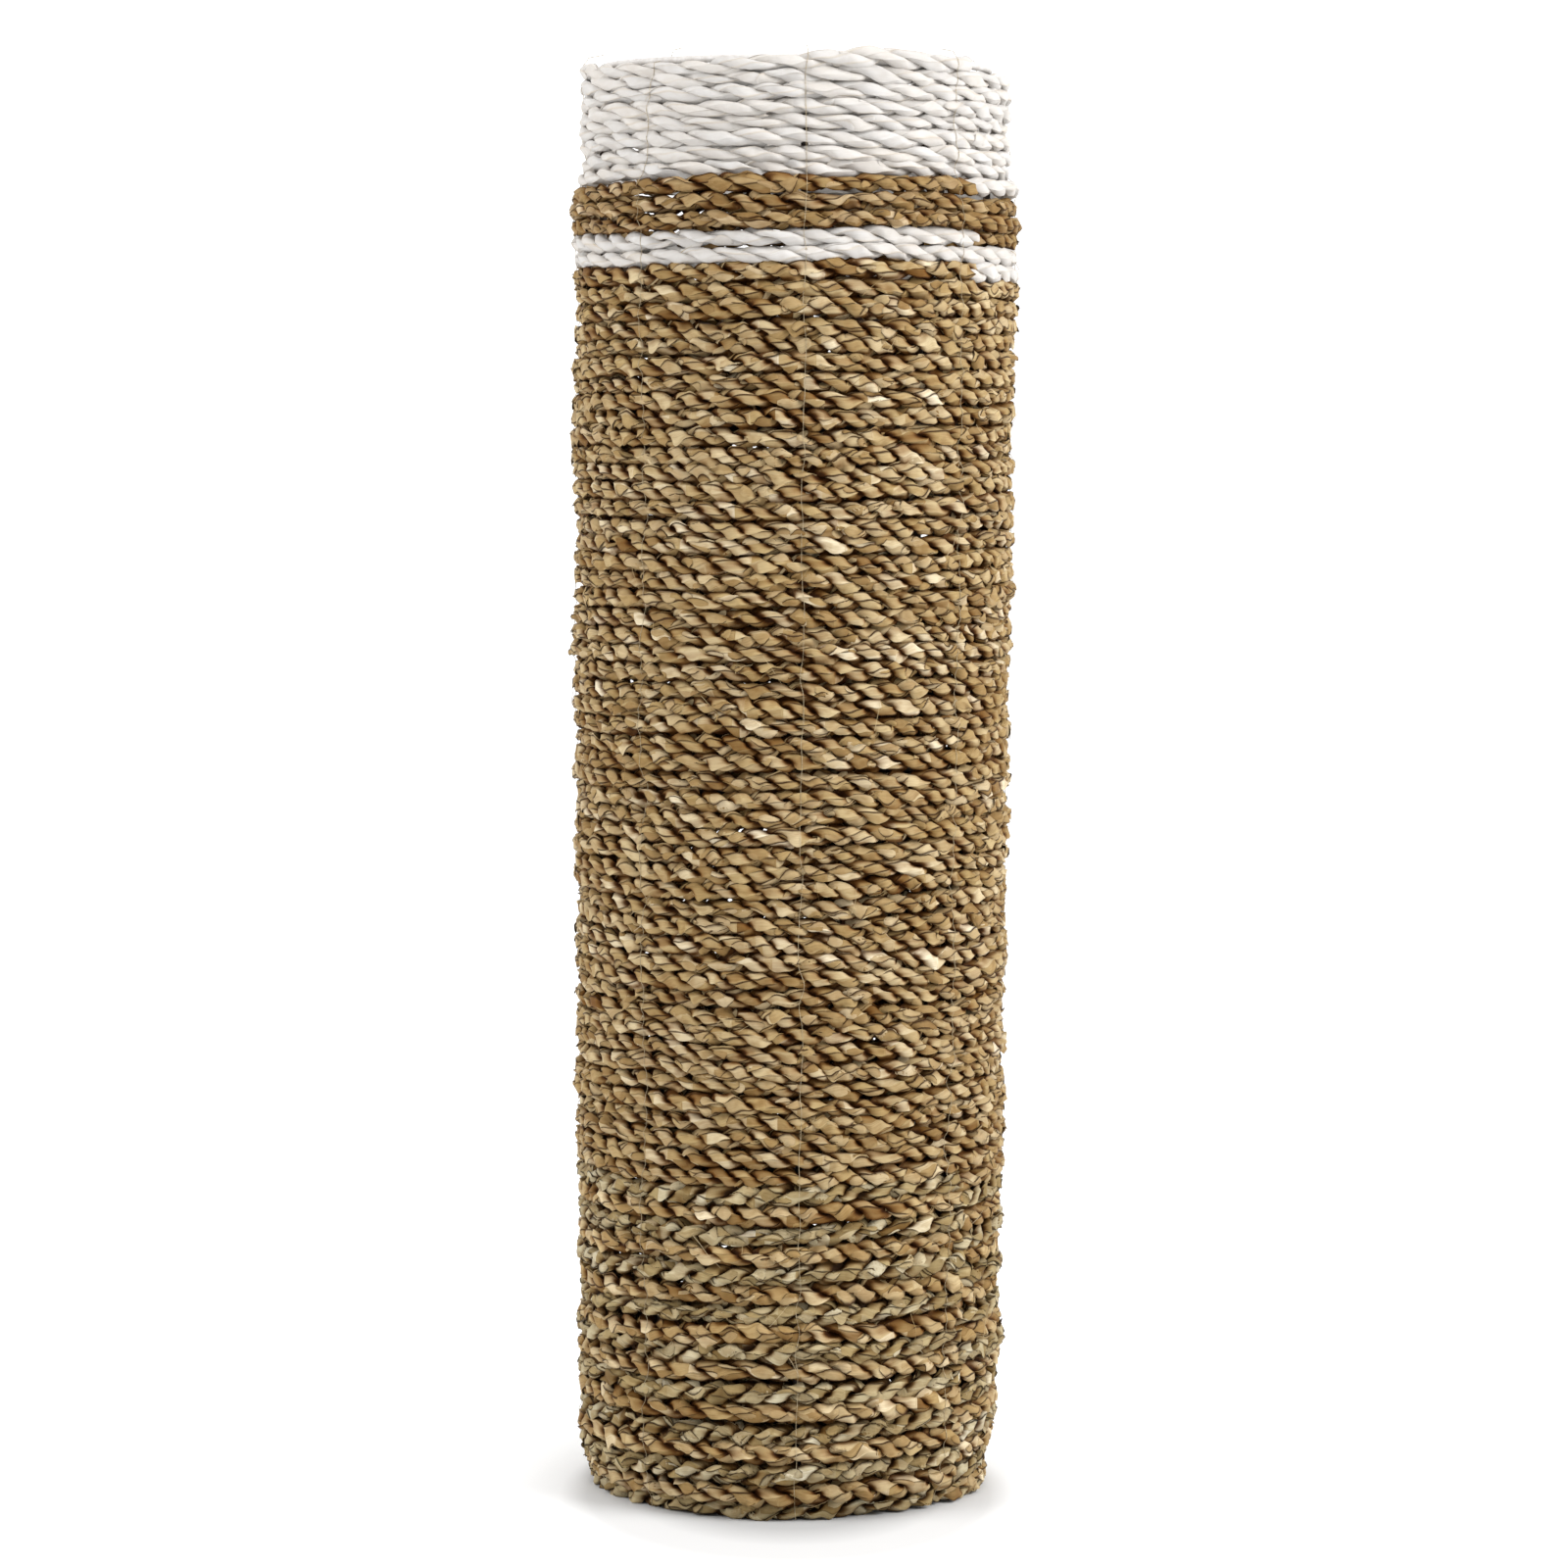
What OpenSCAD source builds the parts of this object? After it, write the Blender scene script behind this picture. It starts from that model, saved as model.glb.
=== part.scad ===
// Tall woven floor basket: twisted leaf rope wound in rows round a light wire frame.
// Each stretch of rope is one solid, its rows meet face to face, and the frame stands inside it.
// Origin at the centre of the underside, +Z up, millimetres.

/* [Foot] */
// Rows of grey rope, one more than the tan rows between them
grey_rows = 9; // [5:1:12]
// Height of a grey row
grey_row_h = 9.6; // [8:0.1:11]
// Height of a tan row in the foot
tan_row_h = 12.5; // [9:0.1:14]
// How far the lowest rows turn in at the floor
turn_in = 8; // [0:0.5:10]
// Height over which the lowest rows turn in
turn_h = 45; // [30:1:80]

/* [Wall rows] */
// Rows of natural rope in the body
body_rows = 51; // [20:1:60]
// Height of a body row
body_row_h = 9.85; // [8:0.05:12]
// Rows of white rope in the stripe
stripe_rows = 2; // [1:1:4]
// Height of a stripe row
stripe_row_h = 8.9; // [8:0.1:12]
// Rows of brown rope in the band
band_rows = 3; // [1:1:6]
// Height of a band row
band_row_h = 9.4; // [8:0.1:12]
// Rows of white rope in the rim
rim_rows = 8; // [4:1:12]
// Height of a rim row
rim_row_h = 8.36; // [8:0.02:12]

/* [Girth] */
// Outer radius of the foot above its turned-in rows
foot_r = 120; // [119:0.5:122]
// Outer radius where the body meets the foot
body_low_r = 121.5; // [120:0.5:123]
// Outer radius at the top of the body
body_high_r = 125.2; // [123:0.1:127]
// Outer radius of the stripe
stripe_r = 124; // [122:0.5:127]
// Outer radius of the band
band_r = 127; // [125:0.5:128]
// Outer radius of the rim
rim_r = 120; // [120:0.5:124]
// Thickness of a natural rope through the wall
rope_t = 12.3; // [11.5:0.1:12.4]
// Thickness of a white rope through the wall
white_t = 10; // [9:0.1:10]
// Depth of the groove between two rows
groove = 2.8; // [1:0.1:3.2]

/* [Base] */
// Turns of rope in the base mat
mat_turns = 9; // [6:1:12]
// Thickness of the base mat
mat_t = 11; // [8:0.5:12]

/* [Frame] */
// Uprights, and thread seams
seams = 8; // [6:1:10]
// Angle of the first seam, counted from the front
first_seam = 2.5; // [0:0.5:20]
// Diameter of the frame wire
wire_d = 4; // [3:0.5:4]
// Radius of the uprights at the top, on their centre lines
frame_top_r = 107.8; // [106:0.1:107.8]
// Radius of the uprights above their bent feet
frame_low_r = 105.3; // [104:0.1:105.3]
// Radius of the feet of the uprights
frame_foot_r = 97.5; // [95:0.5:97.5]

/* [Thread] */
// Thickness of the thread
thread_t = 0.5; // [0.4:0.1:0.8]
// Width of a seam
thread_w = 0.8; // [0.5:0.1:1.5]

/* [Hidden] */
$fn = 96;
gap = 0.2;
foot_pair_h = grey_row_h + tan_row_h;
foot_top = grey_rows * grey_row_h + (grey_rows - 1) * tan_row_h;
body_top = foot_top + body_rows * body_row_h;
stripe_top = body_top + stripe_rows * stripe_row_h;
band_top = stripe_top + band_rows * band_row_h;
rim_top = band_top + rim_rows * rim_row_h;

// Outer radius of the rows by height, above the foot
girth = [
  [turn_h, foot_r],
  [foot_top, body_low_r],
  [body_top, body_high_r],
  [body_top + stripe_row_h / 2, stripe_r],
  [stripe_top - stripe_row_h / 2, stripe_r],
  [stripe_top + band_row_h / 4, band_r],
  [band_top - band_row_h / 4, band_r],
  [band_top + rim_row_h / 2, rim_r],
  [rim_top, rim_r],
];

mat_r = foot_r - turn_in - rope_t - gap;
mat_turn_w = mat_r / (mat_turns + 0.5);
mat_groove = 2;

wire_r = wire_d / 2;
bend_z = turn_h + 5;
bend_lap = 0.3;
frame_z0 = mat_t + gap;
hoop_top_z = rim_top - wire_r - 1;
upright_top = hoop_top_z - wire_r - gap;
base_hoop_r = frame_foot_r - wire_d - gap;
base_wire_z = frame_z0 + wire_r;
hoop_heights = [200, 400, 600];

// Each foot rope is carried up inside the rows of the other one, at its own angle from the front
grey_carry_angle = 56;
tan_carry_angle = 62;
carry_deg = 4;
carry_t = 3.4;

wire_color = "dimgray";

// Radius of the crest of the rows at height z
function crest(z) =
  z < turn_h ? foot_r - turn_in * pow(1 - z / turn_h, 2) : lookup(z, girth);

// One row's side, from its lower groove to its upper crest; side is +1 outside and -1 inside
function row_side(z0, h, t, side) = [
  for (k = [[0, 1], [0.25, 0], [0.75, 0]])
    [crest(z0 + k[0] * h) - (side > 0 ? 0 : t) - side * groove * k[1], z0 + k[0] * h]
];

// The groove point that closes a side at height z
function row_end(z, t, side) = [crest(z) - (side > 0 ? 0 : t) - side * groove, z];

function reversed(p) = [for (i = [len(p) - 1:-1:0]) p[i]];

// Outline of a stack of rows
function stack_side(z0, rows, h, t, side) = concat(
  [for (i = [0:rows - 1]) each row_side(z0 + i * h, h, t, side)],
  [row_end(z0 + rows * h, t, side)]
);
function stack_outline(z0, rows, h, t) =
  concat(stack_side(z0, rows, h, t, 1), reversed(stack_side(z0, rows, h, t, -1)));

module stack(z0, rows, h, t) {
  rotate_extrude() polygon(stack_outline(z0, rows, h, t));
}

// Turns its children so that +X points at an angle counted from the front (-Y) towards +X
module facing(angle) {
  rotate([0, 0, angle - 90]) children();
}

// Rings of one foot rope, joined by the short runs where it passes inside the other rope's rows
module foot_rings(z0, rows, h, angle) {
  for (i = [0:rows - 1]) stack(z0 + i * foot_pair_h, 1, h, rope_t);
  facing(angle) rotate_extrude(angle = carry_deg) {
    for (i = [0:rows - 2]) carry_run(z0 + i * foot_pair_h, h);
  }
}

// Run from the row at z to the next one, clear of the row between them
module carry_run(z, h) {
  low = z + h / 2;
  high = z + foot_pair_h + h / 2;
  inner = crest(z + h + (foot_pair_h - h) / 4) - rope_t - gap - carry_t;
  translate([inner, low - carry_t / 2]) square([carry_t, high - low + carry_t]);
  for (end = [low, high]) {
    translate([inner, end - carry_t / 2]) square([crest(end) - rope_t + 1 - inner, carry_t]);
  }
}

module foot_rope_grey() {
  color("darkkhaki") foot_rings(0, grey_rows, grey_row_h, grey_carry_angle);
}

module foot_rope_tan() {
  color("tan") foot_rings(grey_row_h, grey_rows - 1, tan_row_h, tan_carry_angle);
}

module body_rope() {
  color("burlywood") stack(foot_top, body_rows, body_row_h, rope_t);
}

module stripe_rope() {
  color("whitesmoke") stack(body_top, stripe_rows, stripe_row_h, white_t);
}

module band_rope() {
  color("peru") stack(stripe_top, band_rows, band_row_h, rope_t);
}

module rim_rope() {
  color("whitesmoke") stack(band_top, rim_rows, rim_row_h, white_t);
}

// Flat coil of rope with a ridge for each turn on its upper side
module base_mat() {
  ridges = [
    for (i = [mat_turns:-1:0])
      for (k = [[1, mat_groove], [0.75, 0], [0.25, 0]])
        if (i + k[0] - 0.5 > 0) [(i + k[0] - 0.5) * mat_turn_w, mat_t - k[1]]
  ];
  color("tan") rotate_extrude() polygon(concat([[0, 0], [mat_r, 0]], ridges, [[0, mat_t]]));
}

// Radius of the upright wires at height z above their bend
function upright_r(z) =
  frame_low_r + (frame_top_r - frame_low_r) * (z - bend_z) / (upright_top - bend_z);

// Straight wire from a to b, both [radius, height], run past b to fill the outside of a bend
module wire(a, b) {
  run = b - a;
  translate([a[0], 0, a[1]]) rotate([0, atan2(run[0], run[1]), 0])
    cylinder(h = norm(run) + bend_lap, d = wire_d);
}

module upright(i) {
  bend = [frame_low_r, bend_z];
  color(wire_color) facing(first_seam + (i - 1) * 360 / seams) {
    wire([frame_foot_r, frame_z0 + wire_r], bend);
    wire(bend, [frame_top_r, upright_top - bend_lap]);
  }
}

module hoop(r, z) {
  color(wire_color) rotate_extrude() translate([r, z]) circle(d = wire_d, $fn = 24);
}

module inner_hoop(z) {
  hoop(upright_r(z) - wire_d - gap, z);
}

module base_bar(half_length, z, angle) {
  color(wire_color) translate([0, 0, z]) facing(angle) translate([-half_length, 0, 0])
    rotate([0, 90, 0]) cylinder(h = 2 * half_length, d = wire_d);
}

// Height and girth of every row's groove and crest on the outside, from the floor to the rim
thread_path = concat(
  [
    for (i = [0:grey_rows - 1]) each concat(
      row_side(i * foot_pair_h, grey_row_h, rope_t, 1),
      i < grey_rows - 1 ? row_side(i * foot_pair_h + grey_row_h, tan_row_h, rope_t, 1) : []
    )
  ],
  [for (i = [0:body_rows - 1]) each row_side(foot_top + i * body_row_h, body_row_h, rope_t, 1)],
  [for (i = [0:stripe_rows - 1]) each row_side(body_top + i * stripe_row_h, stripe_row_h, white_t, 1)],
  [for (i = [0:band_rows - 1]) each row_side(stripe_top + i * band_row_h, band_row_h, rope_t, 1)],
  [for (i = [0:rim_rows - 1]) each row_side(band_top + i * rim_row_h, rim_row_h, white_t, 1)],
  [row_end(rim_top, white_t, 1)]
);

// One seam, laid over the outer face of every row
module seam_thread(i) {
  outline = concat(reversed(thread_path), [for (p = thread_path) [p[0] + thread_t, p[1]]]);
  color("ivory") facing(first_seam + (i - 1) * 360 / seams) rotate([90, 0, 0])
    linear_extrude(height = thread_w, center = true) polygon(outline);
}

base_mat();
foot_rope_grey();
foot_rope_tan();
body_rope();
stripe_rope();
band_rope();
rim_rope();
for (i = [1:seams]) upright(i);
hoop(frame_top_r, hoop_top_z);  // rim_hoop
inner_hoop(hoop_heights[2]);  // upper_hoop
inner_hoop(hoop_heights[1]);  // middle_hoop
inner_hoop(hoop_heights[0]);  // lower_hoop
hoop(base_hoop_r, base_wire_z);  // base_hoop
base_bar(base_hoop_r - wire_r - gap, base_wire_z, 0);  // base_bar_lower
base_bar(base_hoop_r, base_wire_z + wire_d + gap, 90);  // base_bar_upper
for (i = [1:seams]) seam_thread(i);
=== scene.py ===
"""Looks of the tall woven floor basket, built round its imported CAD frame. Metres, +Z up, front towards -Y.

Every rope is two plies of rolled leaf, swept along one helix that climbs a row a turn. Row heights and
girths come from the CAD nodes' boxes, so each row lies where its CAD ring does. Angles round the basket are
taken from the front, positive towards +X. Turns of the winding are counted from the joint at the floor.
"""

import math

import bpy
import numpy as np
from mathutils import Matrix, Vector


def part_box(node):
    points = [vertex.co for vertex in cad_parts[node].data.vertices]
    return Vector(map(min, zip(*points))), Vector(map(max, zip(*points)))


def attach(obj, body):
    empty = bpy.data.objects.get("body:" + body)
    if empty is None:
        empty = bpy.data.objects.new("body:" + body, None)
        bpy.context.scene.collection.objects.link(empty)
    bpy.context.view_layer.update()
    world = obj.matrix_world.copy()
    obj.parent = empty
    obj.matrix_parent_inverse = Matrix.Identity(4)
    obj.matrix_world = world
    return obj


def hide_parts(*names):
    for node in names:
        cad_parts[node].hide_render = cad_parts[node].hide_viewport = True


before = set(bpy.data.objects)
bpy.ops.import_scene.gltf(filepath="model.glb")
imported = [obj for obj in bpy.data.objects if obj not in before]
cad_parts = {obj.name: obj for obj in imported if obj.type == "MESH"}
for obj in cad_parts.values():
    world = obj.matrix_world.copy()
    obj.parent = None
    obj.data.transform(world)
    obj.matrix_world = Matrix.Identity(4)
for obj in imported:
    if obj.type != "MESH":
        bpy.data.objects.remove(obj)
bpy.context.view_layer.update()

# ---------------------------------------------------------------- rows, from the CAD boxes
BODY_ROWS, STRIPE_ROWS, BAND_ROWS, RIM_ROWS, GREY_ROWS = 51, 2, 3, 8, 9
FOOT_COUNT = 2 * GREY_ROWS - 1      # grey and tan rows in turn, with a grey one first and last
SEAMS = 8
FIRST_SEAM = math.radians(2.5)
SEAM_STEP = 2 * math.pi / SEAMS
JOINT = math.radians(54.0)          # where one rope ends and the next begins
LAP = 8 / 360                       # share of a turn that a rope runs on past the joint before it ends
HEIGHT_SHARE = 0.81                 # share of a turn after JOINT at which a row is level with its CAD ring
WALL_R = 0.120                      # outer radius of the foot's and the rim's rows

# The node of each kind of rope
SECTIONS = {"grey": "foot_rope_grey", "tan": "foot_rope_tan", "body": "body_rope", "stripe": "stripe_rope",
            "band": "band_rope", "rim": "rim_rope"}
BOX = {node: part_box(node) for node in (*SECTIONS.values(), "base_mat")}


def z_range(node):
    low, high = BOX[node]
    return low.z, high.z


def even_rows(kind, count):
    """Rows of one height that fill a node's box, as (kind, height of the middle) each."""
    low, high = z_range(SECTIONS[kind])
    h = (high - low) / count
    return [(kind, low + (i + 0.5) * h) for i in range(count)]


def foot_rows():
    """Grey and tan rows in turn. The tan node starts where the first grey row ends."""
    grey_h = z_range("foot_rope_tan")[0]
    tan_h = (z_range("foot_rope_grey")[1] - GREY_ROWS * grey_h) / (GREY_ROWS - 1)
    rows, z = [], 0.0
    for i in range(FOOT_COUNT):
        kind, h = ("tan", tan_h) if i % 2 else ("grey", grey_h)
        rows.append((kind, z + h / 2))
        z += h
    return rows


WALL = (("body", BODY_ROWS), ("stripe", STRIPE_ROWS), ("band", BAND_ROWS), ("rim", RIM_ROWS))
ROWS = foot_rows() + [row for kind, count in WALL for row in even_rows(kind, count)]
ROW_Z = np.array([z for _, z in ROWS])
ROW_TURN = np.arange(len(ROWS)) + HEIGHT_SHARE


def outer_r(node):
    low, high = BOX[node]
    return (high.x - low.x) / 2


def row_radii():
    """Outer radius of each row: the CAD girth of its section, blended up the body and less at the floor."""
    turn_in, turn_height = 0.0085, 0.045
    foot_flare, body_flare, stripe_step = 0.0012, 0.0014, 0.0010
    body_low, body_high = z_range("body_rope")
    radii = []
    for kind, z in ROWS:
        if kind in ("grey", "tan"):
            r = WALL_R + foot_flare * z / ROW_Z[FOOT_COUNT]
            r -= turn_in * max(0.0, 1 - z / turn_height) ** 2
        elif kind == "body":
            t = (z - body_low) / (body_high - body_low)
            r = WALL_R + body_flare + (outer_r("body_rope") - WALL_R - body_flare) * t ** 0.8
        elif kind == "stripe":
            r = outer_r("body_rope") - stripe_step
        elif kind == "band":
            r = outer_r("band_rope")
        else:
            r = WALL_R
        radii.append(r)
    return np.array(radii)


ROW_R = row_radii()


# ---------------------------------------------------------------- noise
def smooth_noise(rng, s, wave, amp):
    """Smooth random values along s, about wave long and amp high."""
    n = int((s[-1] - s[0]) / wave) + 6
    knots = rng.normal(0, 1, n)
    x = (s - s[0]) / wave + 1.5 + rng.random()
    i = np.floor(x).astype(int)
    f = x - i
    w = f * f * (3 - 2 * f)
    i = np.clip(i, 0, n - 2)
    return amp * (knots[i] * (1 - w) + knots[i + 1] * w)


def eased(values, rings):
    """Values smoothed over a few rings along the first axis."""
    box = np.ones(2 * rings + 1) / (2 * rings + 1)
    return np.convolve(np.pad(values, rings, mode="edge"), box, "valid")


# Waves round the wall, each turning as it climbs: waves a turn, radians a metre of height, and phase
WAVES = list(zip((2, 3, 5, 4, 7), (21.0, -34.0, 55.0, 62.0, -47.0),
                 np.random.default_rng(5).uniform(0, 6.28, 5)))


def wall_sway(angle, z, phase):
    """Gentle unevenness that neighbouring rows share, mostly from -1 to 1."""
    return sum(np.sin(m * angle + q * z + p + phase * (i + 1)) for i, (m, q, p) in enumerate(WAVES)) / 3


# ---------------------------------------------------------------- rope made of two plies of folded leaf
# One entry per kind of rope, in metres: half height, half thickness, rope length per full twist, twist sign,
# lift of the leaf's lip as a share of the rope, leaf length, unevenness, flatness of the leaf's faces,
# loose leaf edges per metre of ply, height of the inner side as a share of the outer side's, material slot
KINDS = {
    "body": dict(up=0.0051, out=0.0064, pitch=0.0310, hand=-1, lip=0.20, leaf=0.034, rough=1.0,
                 flat=1.0, flaps=70, inner=1.36, slot="natural_rope"),
    "tan": dict(up=0.0057, out=0.0065, pitch=0.0320, hand=-1, lip=0.15, leaf=0.036, rough=1.1,
                flat=1.0, flaps=70, inner=1.42, slot="tan_rope"),
    "grey": dict(up=0.0055, out=0.0064, pitch=0.0330, hand=1, lip=0.17, leaf=0.030, rough=1.2,
                 flat=1.0, flaps=100, inner=1.42, slot="grey_rope"),
    "band": dict(up=0.0044, out=0.0063, pitch=0.0320, hand=-1, lip=0.20, leaf=0.034, rough=1.2,
                 flat=1.0, flaps=75, inner=1.02, slot="band_rope"),
    "stripe": dict(up=0.0049, out=0.0053, pitch=0.0430, hand=-1, lip=0.04, leaf=0.110, rough=0.8,
                   flat=0.2, flaps=6, inner=1.15, slot="white_rope"),
    "rim": dict(up=0.0047, out=0.0053, pitch=0.0490, hand=-1, lip=0.04, leaf=0.110, rough=0.8,
                flat=0.2, flaps=6, inner=1.15, slot="white_rope"),
    "mat": dict(up=0.0056, out=0.0054, pitch=0.0290, hand=-1, lip=0.12, leaf=0.040, rough=0.8,
                flat=1.0, flaps=10, inner=1.0, slot="base_rope"),
}
STEP = 0.00135                      # length of rope from one ring of points to the next
FOLDS, SPAN = 4, 3                  # folds round a ply, and points from one fold to the next
RING = FOLDS * SPAN + 1             # one more point lies under the leaf's lip
UNTWIST = 1.65                      # how far a leaf turns back in its ply for each turn of the rope
CREST, PRESSED = 0.80, 0.62         # where the pressed crest starts, and how far it gives, as shares
EMBED = 0.975                       # share of a rope's half thickness that lies inside the outer radius

TAPER, TUCK = 0.020, 0.0095         # length over which a rope's end tapers, and how far it turns in
PINCH_LENGTH, PINCH_DEPTH = 0.0028, 0.0004      # how a seam thread draws the rope in
# Height of the last turn above its even height: angle in degrees, and millimetres
RIM_LIFT = ((-110, 0), (-90, -0.3), (-60, -2.2), (-30, -3.6), (-10, -2.8), (0, -2.2), (12, 0.6), (22, 2.4),
            (34, 1.2), (46, -0.8), (56, -1.2))
FOLLOW = (1.0, 0.40, 0.15)          # share of that lift in the last turn and in the two below it


def helix(turn):
    """Angle from the front and height of the winding at a turn count."""
    angle = JOINT + 2 * math.pi * turn
    low = ROW_Z[0] + (turn - ROW_TURN[0]) * (ROW_Z[1] - ROW_Z[0])
    high = ROW_Z[-1] + (turn - ROW_TURN[-1]) * (ROW_Z[-1] - ROW_Z[-2])
    z = np.interp(turn, ROW_TURN, ROW_Z)
    z = np.where(turn < ROW_TURN[0], low, np.where(turn > ROW_TURN[-1], high, z))
    return angle, z


class Leaves:
    """The leaves that follow each other along one ply: where each ends, and values drawn for each leaf."""

    def __init__(self, rng, s, length):
        self.rng, self.s = rng, s
        self.count = int((s[-1] - s[0]) / length) * 2 + 10
        self.cuts = s[0] - rng.random() * length + np.cumsum(rng.uniform(0.4, 1.6, self.count)) * length
        self.index = np.searchsorted(self.cuts, s)

    def values(self, low, high, rings=3):
        """A random value per leaf, eased from one leaf into the next."""
        return eased(self.rng.uniform(low, high, self.count + 1)[self.index], rings)


def leaf_section(leaves, p, noise, turned):
    """Outline of a folded leaf at each ring, for a ply of about unit size.

    The folds wander round the ply, and the leaf's free edge stands up as a lip at the first of them. The
    last point lies under that lip.
    """
    lip = p["lip"] * leaves.values(0.2, 1.9) * (1 + noise(0.008, 0.3))
    lip = np.maximum(lip, 0.01)
    corner, reach = [], []
    for j in range(FOLDS):
        corner.append(2 * math.pi * j / FOLDS + turned + leaves.values(-0.34, 0.34, 5) + noise(0.010, 0.06))
        reach.append(1.12 + leaves.values(-0.08, 0.08) + noise(0.006, 0.03))
    corner.append(corner[0] + 2 * math.pi)
    reach.append(reach[0])
    fx = [r * np.cos(c) for r, c in zip(reach, corner)]
    fy = [r * np.sin(c) for r, c in zip(reach, corner)]
    xs, ys = [], []
    for j in range(FOLDS):
        belly = 0.30 - 0.22 * p["flat"] + leaves.values(-0.08, 0.08)
        for t in np.arange(SPAN) / SPAN:
            mx, my = fx[j] * (1 - t) + fx[j + 1] * t, fy[j] * (1 - t) + fy[j + 1] * t
            swell = 1 + belly * 4 * t * (1 - t)
            if j == 0:
                swell = swell + 1.6 * lip * (1 - t) ** 1.5
            xs.append(mx * swell)
            ys.append(my * swell)
    back_x, back_y = fx[FOLDS - 1], fy[FOLDS - 1]
    xs.append(fx[0] * 0.98 - 0.04 * back_x)
    ys.append(fy[0] * 0.98 - 0.04 * back_y)
    xs[0] = xs[0] + 0.09 * (back_x - fx[0])
    ys[0] = ys[0] + 0.09 * (back_y - fy[0])
    return np.stack(xs, 1), np.stack(ys, 1)


def leaf_looks(rng, leaves, deep):
    """Values that the leaf materials read. deep is the distance from the rope's middle, 1 at its skin."""
    n = len(leaves.s)
    crease = np.zeros((n, RING))
    # crease marks painted shade: a dark line along some folds, none at the lip's own fold, and full shade
    # under the lip
    for j in range(FOLDS):
        crease[:, j * SPAN] = np.clip(leaves.values(-0.1, 1.6), 0, 1)
    crease[:, 0] = 0
    crease[:, RING - 1] = 1
    ring_share = np.arange(RING) / RING
    face = np.minimum(np.arange(RING) // SPAN, FOLDS - 1)
    shift = rng.uniform(-0.006, 0.006, FOLDS)
    face_leaf = np.stack([np.searchsorted(leaves.cuts + shift[f], leaves.s) for f in face], 1)
    leaf_tone = rng.random(leaves.count + 1)
    drift = smooth_noise(rng, leaves.s, 0.9, 0.09)
    face_tone = leaf_tone[:, None] * 0.55 + rng.random((leaves.count + 1, FOLDS)) * 0.45
    return dict(
        tone=np.clip(face_tone[face_leaf, face[None, :]] + drift[:, None], 0, 1),
        hue=rng.random(leaves.count + 1)[face_leaf],
        along=np.repeat(leaves.s[:, None], RING, 1), across=np.repeat(ring_share[None, :], n, 0),
        crease=crease, deep=deep)


def ply_rings(rng, s, alpha, kind, size):
    """Rings of one ply in the rope's own (out, up) plane, and its look values. alpha is the ply's angle."""
    p = KINDS[kind]
    leaves = Leaves(rng, s, p["leaf"])

    def noise(wave, amp):
        return smooth_noise(rng, s, wave, amp * p["rough"])

    depth = 0.55 * leaves.values(0.90, 1.10) * (1 + noise(0.012, 0.07) + noise(0.004, 0.02))
    width = 0.70 * leaves.values(0.88, 1.12) * (1 + noise(0.011, 0.09) + noise(0.004, 0.025))
    offset = 0.45 + noise(0.014, 0.04)
    sway = noise(0.013, 0.08)
    turned = -UNTWIST * alpha + rng.uniform(0, 6.28) + noise(0.02, 0.30)
    x, y = leaf_section(leaves, p, noise, turned)
    x = x * depth[:, None]
    y = y * width[:, None]
    squeezed = np.maximum(x, -offset[:, None] - 0.06)      # the plies press flat against each other
    x = squeezed + offset[:, None]
    y = y + sway[:, None]
    ca, sa = np.cos(alpha)[:, None], np.sin(alpha)[:, None]
    out = (x * ca - y * sa) * size[:, None] * p["out"]
    up = (x * sa + y * ca) * size[:, None] * p["up"]

    # the crest is pressed flat, and rows press together on the hidden side
    crest = CREST * p["out"]
    out = np.where(out > crest, crest + (1 - PRESSED * p["flat"]) * (out - crest), out)
    up = up * (1 + (p["inner"] - 1) * np.clip(-1.6 * out / p["out"] + 0.1, 0, 1))
    # deep is lowest at the rope's middle and is lowered more at its top and bottom, where rows meet; the
    # leaf materials paint shade where it is low
    deep = np.hypot(x, y) - 0.45 * np.clip(np.abs(up) / p["up"] * 3 - 2.1, 0, 1)
    return out, up, leaf_looks(rng, leaves, deep)


def twist(rng, s, kind, size):
    """Both plies of a rope: their (out, up) offsets from its centre line, and their looks."""
    p = KINDS[kind]
    slow, quick = smooth_noise(rng, s, 0.07, 0.08), smooth_noise(rng, s, 0.014, 0.11)
    rate = 2 * math.pi / p["pitch"] * (1 + slow + quick)
    alpha = p["hand"] * np.cumsum(rate) * (s[1] - s[0]) + rng.uniform(0, 2 * math.pi)
    return [ply_rings(rng, s, alpha + math.pi * ply, kind, size) for ply in (0, 1)]


def to_wall(angle, radius, z):
    """Points at angles, radii and heights of the basket."""
    return np.stack([radius * np.sin(angle), -radius * np.cos(angle), z], -1)


def rim_lift(turn, turn1):
    """The last turn sags over the front and rides up before it ends. The turns below follow it a little."""
    place = np.degrees((turn - turn1) * 2 * math.pi) + np.degrees(JOINT) + 360 * LAP
    degrees, millimetres = zip(*RIM_LIFT)
    lift = np.zeros(len(turn))
    for back, share in enumerate(FOLLOW):
        lift = lift + share * np.interp(place + 360 * back, degrees, millimetres, left=0, right=0) / 1000
    return lift


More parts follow.
